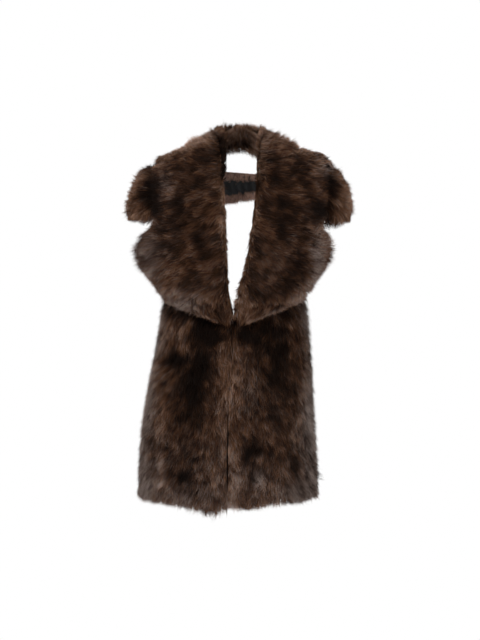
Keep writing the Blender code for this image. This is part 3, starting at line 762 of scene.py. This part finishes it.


# %% [markdown]
# The table lists the larger dark and pale places of the front as it is worn: where each lies,
# how far it spreads and how much it changes the tone. Some are uneven dye. Many are painted
# shade, in the gap between collar and cap, under the collar and along its roll, and painted
# light on rims and on hair that the collar shades. The sides and back only have the slow
# random patches.

# %% Dye, painted shade and painted light
# x, z, half width, half height, change of tone (dye, painted shade and painted light), share of cool
# hair (partly painted sheen)
DYE_AND_SHADE_PLACES = [
    (-90, -450, 44, 78, -0.57, 0), (-124, -398, 36, 11, -0.42, 0), (-40, -648, 10, 20, 0.20, 0),
    (-76, -356, 26, 30, -0.36, 0), (-42, -390, 12, 26, 0.36, 0), (30, -530, 14, 18, -0.22, 0),
    (-127, -14, 18, 14, -0.32, 0), (-86, -45, 18, 18, -0.32, 0), (133, -41, 16, 16, -0.20, 0),
    (164, -117, 14, 16, -0.32, 0), (-164, -90, 14, 34, -0.24, 0), (-162, -144, 14, 14, -0.16, 0),
    (113, -404, 18, 16, -0.16, 0), (182, -12, 12, 12, 0.22, 0.3), (-184, -236, 16, 22, 0.32, 0.3),
    (152, -246, 14, 14, 0.06, 0.3), (31, -54, 12, 22, -0.48, 0), (-25, 80, 14, 10, 0.22, 0),
    (64, -372, 44, 46, -0.48, 0), (72, -440, 36, 32, -0.42, 0), (26, -586, 20, 36, -0.46, 0),
    (66, -588, 24, 40, -0.32, 0), (-100, -568, 54, 30, -0.28, 0), (78, -246, 16, 26, -0.28, 0),
    (132, -104, 34, 36, -0.26, 0), (128, -314, 16, 24, 0.36, 0.3), (-106, -326, 22, 14, 0.30, 0),
    (-208, -22, 16, 20, 0.34, 0), (-150, -278, 14, 14, -0.28, 0), (20, -322, 14, 12, 0.25, 0),
    (-172, -96, 16, 26, -0.30, 0), (-62, 68, 22, 12, 0.52, 0), (-94, 50, 22, 14, 0.46, 0),
    (-124, 36, 22, 14, 0.52, 0), (-146, 22, 16, 12, 0.24, 0), (94, 52, 22, 12, 0.22, 0),
    (132, 36, 22, 14, 0.42, 0), (-116, -634, 28, 34, -0.52, 0), (22, -664, 18, 24, -0.32, 0),
    (-178, -558, 16, 14, -0.24, 0), (-56, -672, 22, 16, -0.38, 0), (112, -592, 20, 26, -0.24, 0),
    (28, -430, 6, 10, 0.34, 0), (-40, -500, 8, 60, 0.08, 0), (-14, -640, 12, 60, 0.20, 0),
    (16, -466, 20, 60, -0.24, 0.3), (66, -514, 46, 40, -0.40, 0.1), (-100, -516, 38, 26, -0.18, 0),
    (-188, -490, 20, 60, 0.10, 0.7), (34, -632, 14, 18, 0.22, 0.7), (-192, -644, 26, 46, -0.13, 0.6),
    (136, -545, 22, 105, 0.22, 0.5), (126, -670, 40, 26, -0.16, 0.6), (-100, -670, 60, 24, 0.06, 0.4),
    (-160, -436, 26, 18, 0.12, 0), (-130, -350, 34, 26, 0.20, 0), (112, -360, 24, 32, -0.08, 0),
    (112, -460, 22, 40, 0.04, 0), (-180, -48, 20, 40, -0.52, 0), (185, -44, 13, 24, -0.80, 0),
    (167, -92, 16, 24, -0.30, 0), (10, -184, 9, 20, -0.18, 0), (112, -192, 14, 34, -0.14, 0),
    (176, -146, 12, 16, -0.20, 0), (-126, -200, 28, 18, -0.08, 0), (-72, -168, 26, 22, -0.24, 0),
    (92, -120, 40, 40, -0.24, 0), (-100, -120, 40, 40, -0.14, 0), (-170, -182, 34, 40, -0.09, 0.45),
    (-104, -284, 36, 18, 0.22, 0.6), (22, -294, 26, 22, 0.24, 0), (152, -190, 14, 46, 0.04, 0.8),
    (-123, -264, 20, 12, 0.20, 0.3), (-12, -437, 10, 14, 0.22, 0), (-221, -37, 14, 16, 0.24, 0),
    (176, -20, 18, 16, 0.22, 0.6), (-152, -40, 18, 26, 0.12, 0.5), (-200, -84, 14, 24, -0.14, 0),
    (226, -80, 10, 50, 0.16, 0), (203, -82, 12, 16, -0.20, 0), (14, 50, 24, 16, -0.24, 0),
    (48, 62, 14, 24, 0.42, 0), (-60, -272, 32, 40, 0.10, 0), (-42, -20, 12, 40, 0.08, 0),
    (-96, -2, 36, 26, -0.22, 0), (104, -20, 30, 22, -0.08, 0), (-61, -92, 9, 26, -0.16, 0),
    (-80, -146, 10, 30, -0.20, 0), (-60, -196, 16, 12, -0.20, 0), (-40, -222, 10, 16, -0.16, 0),
    (55, -120, 10, 24, -0.16, 0), (26, -119, 7, 24, -0.26, 0), (34, -182, 9, 28, -0.34, 0),
    (18, -208, 8, 20, -0.08, 0), (20, -240, 8, 14, -0.16, 0), (50, -240, 14, 16, -0.14, 0),
    (-34, -98, 9, 40, 0.20, 0), (42, -84, 9, 40, 0.04, 0), (76, -297, 16, 10, -0.20, 0),
    (66, -43, 14, 16, -0.24, 0), (137, -150, 14, 14, -0.18, 0), (-137, -463, 20, 18, -0.16, 0),
    (-100, -620, 16, 20, -0.18, 0), (148, -467, 12, 18, -0.26, 0), (-29, -545, 10, 20, 0.22, 0),
    (-152, -644, 14, 16, 0.24, 0), (15, -160, 8, 14, 0.20, 0),
]
BASE_TONE, BASE_COOL = 0.495, 0.19
SOFTEN = 0.85  # above this tone only a quarter of any change is left


def dye_and_shade_at(spot, front):
    """Tone and share of cool hair: middle values, slow random patches, and listed places of dye,
    painted shade and painted light.
    """
    stretch = np.array([1.0, 1.0, 0.55])
    height = spot[:, 2]
    patchy = 0.20 - 0.09 * bell(height + 460, 70) + 0.06 * smooth(-540, -600, height)
    tone = BASE_TONE + 0.22 * mottle(spot * stretch, 42.0, 71) + patchy * mottle(spot, 17.0, 72)
    cool = BASE_COOL + 0.12 * mottle(spot, 50.0, 73)
    if front:
        x, z, wide, high, change, grey = np.array(DYE_AND_SHADE_PLACES, float).T
        at = leaned(spot)
        gap = ((at[:, None, 0] - x) / wide) ** 2 + ((at[:, None, 2] - z) / high) ** 2
        tone = tone + (np.exp(-gap) * change).sum(axis=1)
        cool = cool + (np.exp(-gap) * grey).sum(axis=1)
    return tone, cool


def haired(grid, comb, weight, count, seed, front=True, tint=0.0, grey=0.0, palest=0.92, **sizes):
    """A group of hairs with their colours. tint and grey change tone and coolness on the grid; they
    mostly carry painted shade, painted light and painted sheen.
    """
    points, half, change, place = grow(grid, comb, weight, count, seed, **sizes)
    tone, cool = dye_and_shade_at(points[:, 1:].mean(axis=1), front)
    shape = grid[2].shape
    tone = tone + read_grid(np.broadcast_to(tint, shape), *place)
    cool = cool + read_grid(np.broadcast_to(grey, shape), *place)
    tone = tone + change * np.clip(0.4 + 1.4 * tone, 0.4, 1.15)
    is_cool = np.random.default_rng(seed + 3).uniform(0, 1, count) < cool
    tone = np.minimum(tone, SOFTEN + (tone - SOFTEN) / 4)
    return points, half, np.clip(tone, 0.01, palest) * FAMILY + (1 - FAMILY) * is_cool


print("places", len(DYE_AND_SHADE_PLACES), "and darker", sum(row[4] < 0 for row in DYE_AND_SHADE_PLACES))

# %% [markdown]
# Hair on the body lies downwards, turned a little to the side where the pile was brushed.
# Under the collar it is pressed flat and hardly shows, so few hairs are spent there.

# %% Pile of the fronts and backs
# x, z, half width, half height, turn in degrees towards +X
BRUSHED = [(-150, -450, 60, 90, -38), (-45, -470, 36, 90, 20), (95, -400, 60, 60, -14),
           (120, -560, 60, 90, 10), (-120, -600, 70, 60, -12)]
PARTING = [(-690, 0.2), (-664, 0.4), (-640, 2.6), (-560, 2.4), (-520, 1.4), (-480, 0.6), (-400, 0.6),
           (-375, 1.2), (-350, 0.0), (0, 0.0)]  # z, half gap
FRONT_HAIRS, BACK_HAIRS = (46500, 5000), (20500, 2000)  # all over the panel, and at its hem
above_hem = 26.0 * (fine_rows - HEM_ROW)[:, None]  # rough height above the lower edge


def combed(reach, rows, columns):
    """Ways to lie on a grid: parts along its rows and along its columns."""
    return np.stack([np.broadcast_to(part, reach.shape) for part in (rows, columns)], axis=-1)


def body_hairs(face, side, cloth):
    """Groups of hairs of one panel: all over it, along its hem and a stray tuft."""
    p, n, reach = cloth
    x, z = p[..., 0], p[..., 2]
    front = face < 0
    over_collar_edge = z - table(COLLAR_EDGE, np.abs(x))
    turn = np.zeros_like(x)
    if front:
        for at_x, at_z, wide, high, degrees in BRUSHED:
            turn += degrees * np.exp(-(((x - at_x) / wide) ** 2) - ((z - at_z) / high) ** 2)
    to_arm = smooth(0.55, 1, fine_t)[None] * smooth(8.6, 9.6, fine_rows)[:, None]
    to_middle = smooth(0.1, 0, fine_t)[None]
    turn = np.radians(side * turn + 45 * to_arm + 6 * to_middle)
    weight = 1 - 0.9 * smooth(0, 26, over_collar_edge) * front
    at_side = smooth(0.62, 0.95, fine_t)[None]
    # painted sheen: hair towards the sides is greyer and paler; towards the hem it is greyer and paler
    # too, and a little paler by the middle
    grey = 0.8 * (at_side if front else at_side**3) + 0.25 * smooth(-480, -620, z)
    tint = 0.22 * at_side + 0.08 * to_middle + 0.08 * smooth(-520, -660, z)
    if front:
        # painted shadow: darker hair just below the collar's lower edge, most near the middle
        shade = smooth(-46, -8, over_collar_edge)
        tint = tint - shade * (0.08 + 0.24 * smooth(140, 90, np.abs(x)))
    corner = at_side * smooth(30, 0, above_hem)
    fuller = 1 + at_side * (side > 0) * (0.09 + 0.10 * smooth(-430, -340, z)) - 0.2 * corner
    grid, seed = (p, n, reach * fuller), 100 + 10 * face + side
    width = 0.9 if front else 1.2
    hairs, hem_hairs = FRONT_HAIRS if front else BACK_HAIRS
    groups = [haired(grid, combed(reach, -np.cos(turn), np.sin(turn)), weight, hairs, seed, front, tint,
                     grey, width=width, upright=0.45 + 0.25 * at_side)]
    straight = combed(reach, -1.0, 0.0)
    hang = 18.5 - (8.5 - 1.0 * side) * smooth(0.75, 1, fine_t)[None] + 0 * x
    tail = smooth(0, 4, -x) * smooth(18, 8, -x) * front
    if front:
        hang = hang + 11.0 * smooth(72, 56, -x) * smooth(0, 4, -x) - 5.0 * smooth(100, 140, -x)
    groups.append(haired(grid, straight, smooth(16, 2, above_hem), hem_hairs, seed + 30, front,
                         tint + 0.1, grey, width=width, length=30.0 + 12.0 * tail, upright=0.3,
                         gather=0.1, trim=hang * 0.92 + 6.0 * tail, wild=0.5))
    if front and side > 0:  # one stray tuft at the side
        at_tuft = bell(z + 632, 5) * smooth(0.9, 1, fine_t)
        groups.append(haired((p, n, reach * 1.5), straight, at_tuft, 60, seed + 40, True, -0.3,
                             length=10.0, upright=1.0, gather=0.8))
    if front:  # the fronts only meet, so no hair crosses the parting
        for points, _, _ in groups:
            ragged = np.random.default_rng(seed + 50).uniform(0.55, 1.5, (len(points), 1))
            gap = table(PARTING, points[..., 2]) * ragged
            points[..., 0] = side * np.maximum(side * points[..., 0], gap)
    return groups


piles = {}
for word, side in WORDS.items():
    for face, name in ((-1, "front_" + word), (1, "back_" + word)):
        piles[name] = pile(name + "_pile", body_hairs(face, side, grids[name]))
        print(name, len(piles[name].data.polygons) // 2, "hairs")

# %% [markdown]
# The collar has hair on both faces. It sweeps outwards from the roll edge, turns down
# along the edges of the V and is brushed back over the shoulder. Smaller groups are added
# along the edges, because they draw the outline.

# %% Pile of the collar
# station and turn in degrees: near the roll edge, near the outer edge, and over the shoulder
INNER_TURN = [(0, 70), (10, 70), (13, 40), (17, 10)]
OUTER_TURN = [(0, 60), (2, 45), (4, 25), (7, 8), (12, 0), (17, -5)]
SWEPT_BACK = [(11, 0), (13, 38), (15, 48), (17, 15)]
SLOT_X = {-1: 25.0, 1: 33.0}  # the opening behind the neck is trimmed to these
SLOT_LOW, SLOT_HIGH = -24.0, 27.0
# station, length of hair past the outer edge on the wearer's right and left
OVERHANG = [(0, 16, 18), (1.2, 19, 16), (2, 14, 13), (3, 5, 8), (4.5, 3, 13), (6, 22, 21),
            (7.8, 32, 25), (8.7, 12, 11), (10, 19, 19), (11.5, 19, 19), (12.5, 26, 26),
            (15, 26, 26), (16, 18, 18)]
# station, length of hair past the roll edge on the wearer's right and left
ROLL_TRIM = [(0, 1, 8), (2.5, 1, 11), (4.5, 5, 9), (7, 6, 4), (11, 4, 3), (12.5, 0, 0)]


def sided(rows, side, at):
    """A table with one column for each side of the wearer, read in straight lines."""
    columns = np.array(rows, float).T
    return np.interp(at, columns[0], columns[1 if side < 0 else 2])


def collar_hairs(side, cloth):
    """Groups of hairs of half the collar: its two faces, its edges and its ridge."""
    p, n, reach = cloth
    station = np.linspace(0.6, COLLAR_SEAM, len(p))[:, None]
    t = np.linspace(0, 1, p.shape[1])[None]
    inner, outer = table(INNER_TURN, station), table(OUTER_TURN, station)
    swept = table(SWEPT_BACK, station) * smooth(0.95, 0.6, t)
    turn = np.radians(inner + (outer - swept - inner) * smooth(0.05, 0.38, t))
    comb = combed(reach, -np.sin(turn), np.cos(turn))
    on_lapel, over_shoulder = smooth(12, 7, station), smooth(11, 13.5, station)
    behind_neck = smooth(14.3, 15.3, station)
    facing_up = smooth(0.2, 0.6, n[..., 2])
    ridge = bell(n[..., 1], 0.3) * facing_up
    skyline = bell(n[..., 1], 0.6) * facing_up
    # painted light and painted sheen on the lapel's rounded lower rim, the rest a little darker; a
    # painted highlight along the upward-facing top; the roll edge painted darker on the wearer's right
    # and paler on the left
    tint = 0.10 * smooth(0.75, 1, t) * on_lapel - 0.12 * smooth(0.92, 0.6, t)
    tint = tint + (0.34 - 0.02 * side) * skyline - (0.01 - 0.13 * side) * smooth(0.08, 0, t)
    grey = 0.35 * smooth(0.7, 1, t) * on_lapel
    hang = sided(OVERHANG, side, station)
    flatter = 1 - 0.5 * smooth(0.5, 0.75, t) * over_shoulder
    lower = 1 - (0.37 - 0.03 * side) * skyline * over_shoulder
    from_middle = side * p[..., 0]
    taller = 1.04 + 0.08 * side * (smooth(30, 60, from_middle) * smooth(165, 125, from_middle))
    # painted shadow on the crest over the wearer's right shoulder, up to the neck; on the left it is
    # painted paler
    roll_shade_and_light = -0.38 * smooth(14.8, 13.8, station) if side < 0 else 0.1
    top = haired((p, n, reach * flatter * lower), comb, 1.0, 36000, 200 + side, True, tint, grey,
                 length=30.0, sag=5.0, upright=0.5 + 0.35 * skyline * over_shoulder, trim=hang)
    # painted light: the standing hairs along the roll edge are paler, most on the wearer's left
    rim = haired((p, n, reach * 0.75), comb, smooth(0.2, 0, t) * smooth(14.5, 13, station), 2400,
                 220 + side, True, 0.11 + 0.11 * side, length=18.0, upright=0.75, gather=0.05)
    crest = haired((p, n, reach), combed(reach, 0.0, -1.0),
                   smooth(0.12 + 0.14 * behind_neck, 0, t) * over_shoulder, 4400,
                   230 + side, True, roll_shade_and_light, length=22.0, upright=0.55, gather=0.1, sag=0.0,
                   trim=12.0 - 4.0 * side + 3.0 * smooth(14.5, 16, station), wild=0.15)
    tip = haired((p, n, reach * 0.8), combed(reach, -1.0, -1.0),
                 smooth(0.12, 0, t) * smooth(12.5, 10, station), 1800, 235 + side, True,
                 0.06 + 0.06 * side, length=20.0, upright=0.3, sag=2.0,
                 trim=sided(ROLL_TRIM, side, station), wild=1.0 - 0.2 * side)
    stray = haired((p, n, reach * taller * flatter), comb, ridge, 3400, 250 + side, True, 0.2,
                   length=20.0, upright=0.85, gather=0.3, sag=0.0, trim=hang, wild=0.8)
    # painted light: the outer edge's hairs are paler past the lapel tip, as a pale halo
    edge = haired((p, n, reach), comb, smooth(0.8, 1, t) * smooth(12, 10, station), 5000, 245 + side,
                  True, tint + 0.08 * smooth(2, 4, station), grey, length=30.0, gather=0.1,
                  upright=0.3, trim=hang, wild=0.5)
    under = haired((p, -n, reach), comb, 1.0, 4000, 240 + side, length=26.0, width=1.7, trim=13.0)
    points = crest[0]
    in_slot = (points[..., 2] > SLOT_LOW) & (points[..., 2] < SLOT_HIGH)
    ragged = np.random.default_rng(236 + side).uniform(0, 2, (len(points), 1))
    slot_x = np.maximum(side * points[..., 0], SLOT_X[side] + ragged)
    points[..., 0] = np.where(in_slot, side * slot_x, points[..., 0])
    return [top, rim, crest, tip, stray, edge, under]


print("overhang from", min(row[1] for row in OVERHANG), "to", max(row[1] for row in OVERHANG), "mm")

# %% [markdown]
# On a cap the hair lies outwards and down from the armhole seam, and it hangs more steeply
# at the front and the back. A few strays along the ridge keep the outline ragged.

# %% Pile of the caps
def cap_hairs(side, cloth):
    """Groups of hairs of one cap: its fur and the strays along its ridge."""
    p, n, reach = cloth
    around = np.linspace(-1, 1, p.shape[1])[None]
    to_outside = -np.sign(around) * smooth(0, 0.3, np.abs(around))
    outermost = np.cos(around * math.pi / 2) ** 2
    up_cap = np.linspace(0, 1, len(p))[:, None]
    hanging = smooth(0.4, 0, up_cap) * (1 - outermost)
    comb = combed(reach, -0.45 - 1.2 * hanging, to_outside * (1 - 0.5 * hanging))
    from_seam = side * p[..., 0] - ARM_X
    # painted rim light: the cap's outer part is paler, and its lower rows are paler too
    tint = 0.06 * smooth(0.5, 0, up_cap) + 0.06 * smooth(26, 48, from_seam)
    fur_reach = np.maximum(reach, 13.0 + 16.0 * smooth(0.5, 0.75, up_cap)) * (0.86 - 0.08 * outermost)
    fur = haired((p, n, fur_reach), comb, 0.5 + smooth(0, 20, from_seam), 10000, 260 + side, True, tint,
                 length=27.0 + 9.0 * (side > 0) + (6.0 + 3.0 * side) * smooth(0.4, 0, up_cap),
                 upright=0.5, trim=22.0 + 5.0 * side - (14.0 + 3.0 * side) * outermost)
    ridge = bell(n[..., 1], 0.35) * smooth(0, 0.2, up_cap)
    stray_reach = np.maximum(reach, 13.0) * (1 - 0.1 * outermost)
    stray = haired((p, n, stray_reach), comb * [0.2, 1], ridge, 1900, 270 + side, True, tint,
                   length=20.0, upright=0.75, gather=0.35, sag=0.0, trim=8.0, wild=0.6)
    return [fur, stray]


for word, side in WORDS.items():
    for part, hairs in (("collar_", collar_hairs), ("cap_", cap_hairs)):
        name = part + word
        piles[name] = pile(name + "_pile", hairs(side, grids[name]))
        print(name, len(piles[name].data.polygons) // 2, "hairs")

# %% [markdown]
# Behind the neck the collar stands. Its hair runs up the inside and over the top, and a
# fringe from its lower part hangs into the opening below.

# %% Pile of the collar behind the neck
p, n, reach = grids["collar_back"]
to_end = np.linspace(-1, 1, len(p))[:, None]
right_end = smooth(0.5, 1, -to_end)
to_end = np.sign(to_end) * smooth(0.6, 1, np.abs(to_end))
down = np.linspace(0, 1, p.shape[1])[None]
outside = haired((p, n, reach), combed(reach, 1.6 * to_end, 1.0), 1.0, 6500, 281, False,
                 length=20.0, sag=0.0, upright=0.6)
# painted light: the inside and the fringe below are paler, where the collar's own shade falls on them
inside = haired((p, -n, reach), combed(reach, 0.2 * to_end, -1.0), 1 - 0.8 * smooth(0.5, 0.8, down),
                8000, 282, True, 0.26, length=36.0, sag=0.0, trim=17.0)
corner = smooth(10, 34, p[..., 0]) ** 2  # the opening is rounded here
fringe = haired((p, -n, reach * 0.6), combed(reach, 0.0, 1.0), smooth(0.4, 0.75, down) * (1 + corner),
                3200, 283, True, 0.30, length=28.0 + 12.0 * corner, sag=0.0, upright=0.2,
                gather=0.1, trim=12.0 + 12.0 * corner)
over_seam = 0.7 * np.sign(to_end) * smooth(0.8, 1, np.abs(to_end))
near_top = smooth(0.3, 0, down) * (1 - right_end) + 2 * smooth(0.1, 0, down) * right_end
crest = haired((p, n, reach), combed(reach, 0.2 * to_end + over_seam, -1.0), near_top, 2400, 284,
               True, 0.08, length=22.0 + 6.0 * right_end, upright=0.6, sag=0.0,
               trim=12.0 + 9.0 * right_end, wild=0.8)
piles["collar_back"] = pile("collar_back_pile", [outside, inside, fringe, crest])
print("collar_back", len(piles["collar_back"].data.polygons) // 2, "hairs")

# %% [markdown]
# The strap's fur hangs down behind. In front it is turned over both long edges, so two
# bands of short flat hair lie there and leave the lining bare between them.

# %% Pile of the back strap
STRAP_HIGH = 55.0  # the cloth from edge to edge
p, n, reach = grids["back_strap"]
hanging = combed(reach, -1.0, 0.0)
level = np.linspace(0, 1, len(p))[:, None] - LINING_SLANT / STRAP_HIGH * p[..., 0]
behind = haired((p, n, reach), hanging, 1.0, 3500, 291, False, length=20.0, trim=9.0)
# painted light: both turned bands are made as pale as the pile goes, where the collar shades them
lower_band = smooth(0.08, 0.14, level) * smooth(0.3, 0.22, level)
turned = haired((p, -n, 0 * reach + 3.4), hanging, lower_band, 1400, 292, False, tint=1.6, palest=0.99,
                length=15.0, start=0.6, upright=0.1, gather=0.05, width=1.3, trim=8.0, wild=0.8)
upper_band = smooth(0.54, 0.68, level) * smooth(0.96, 0.9, level)
upper = haired((p, -n, 0 * reach + 3.2), -hanging, upper_band, 1800, 293, False, tint=1.6, palest=0.99,
               length=14.0, start=0.6, upright=0.1, width=1.3, sag=0.0, trim=3.0)
piles["back_strap"] = pile("back_strap_pile", [behind, turned, upper])
hair_triangles = {k: len(o.data.polygons) // 2 * 3 for k, o in piles.items()}
print("hairs", hair_triangles, "all", sum(hair_triangles.values()))

# %% [markdown]
# Each cloth and its pile are now attached to the body, and the solid each replaces is
# hidden. The cut is measured along the grid itself, so it is the flat size of what shows.

for name, cloth in cloths.items():
    p = grids[name][0]
    wide = np.linalg.norm(np.diff(p, axis=1), axis=-1).sum(axis=1).max()
    long = np.linalg.norm(np.diff(p, axis=0), axis=-1).sum(axis=0).max()
    area = np.linalg.norm(np.cross(p[1:, :-1] - p[:-1, :-1], p[:-1, 1:] - p[:-1, :-1]), axis=-1).sum()
    area = float(min(area * 1e-6, 0.999 * wide * long * 1e-6))
    fur = [piles[name]] if name in piles else []
    for piece in [cloth, *fur]:
        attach(piece, "root")
    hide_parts(name)
    print(name, "cut", wide.round(0), "by", long.round(0), "mm, area", round(area, 4), "m2")

# %% [markdown]
# The stage is a pale floor and a white surround, as for a catalogue. One large soft light
# from the upper left and a weaker one from the right give the pile its depth.

# %% Floor, light and camera
FLOOR_Z, FLOOR_RADIUS = -1.3, 1.25
angle = np.linspace(0, 2 * math.pi, 97)[:-1]
disc = FLOOR_RADIUS * np.stack([np.cos(angle), np.sin(angle), 0 * angle], axis=-1) + [0, 0, FLOOR_Z]
mesh = bpy.data.meshes.new("floor")
mesh.from_pydata(disc.tolist(), [], [list(range(len(disc)))])
floor = placed("floor", mesh)
pale, _, shader = finish_of("pale_floor", 0.85, 0.2)
shader.inputs["Base Color"].default_value = (0.82, 0.82, 0.82, 1)
mesh.materials.append(pale)

world = bpy.data.worlds.new("white_surround")
bpy.context.scene.world = world
world.use_nodes = True
world.node_tree.nodes["Background"].inputs["Color"].default_value = (1, 1, 1, 1)
world.node_tree.nodes["Background"].inputs["Strength"].default_value = 1.0


def soft_light(name, place, aim, size, power):
    """A square area light at a place, turned to face a point."""
    lamp = bpy.data.lights.new(name, "AREA")
    lamp.size, lamp.energy = size, power
    obj = placed(name, lamp)
    obj.location = place
    obj.rotation_euler = (Vector(aim) - Vector(place)).to_track_quat("-Z", "Y").to_euler()


MIDDLE = (0.0, 0.0, -0.318)
soft_light("key", (-1.3, -2.4, 1.5), MIDDLE, 1.6, 96)
soft_light("fill", (1.8, -2.2, 0.4), MIDDLE, 1.6, 34)

CAMERA_FAR, VIEW_HIGH = 4.0, 1.312  # metres, and the height of the view at the vest
camera = placed("camera", bpy.data.cameras.new("camera"))
camera.location = (0.0, -CAMERA_FAR, MIDDLE[2])
camera.rotation_euler = (math.radians(90), 0, 0)
camera.data.lens = camera.data.sensor_width * CAMERA_FAR / VIEW_HIGH
bpy.context.scene.camera = camera
bpy.context.scene.view_settings.view_transform = "Standard"
print("camera lens", round(camera.data.lens, 1), "mm")
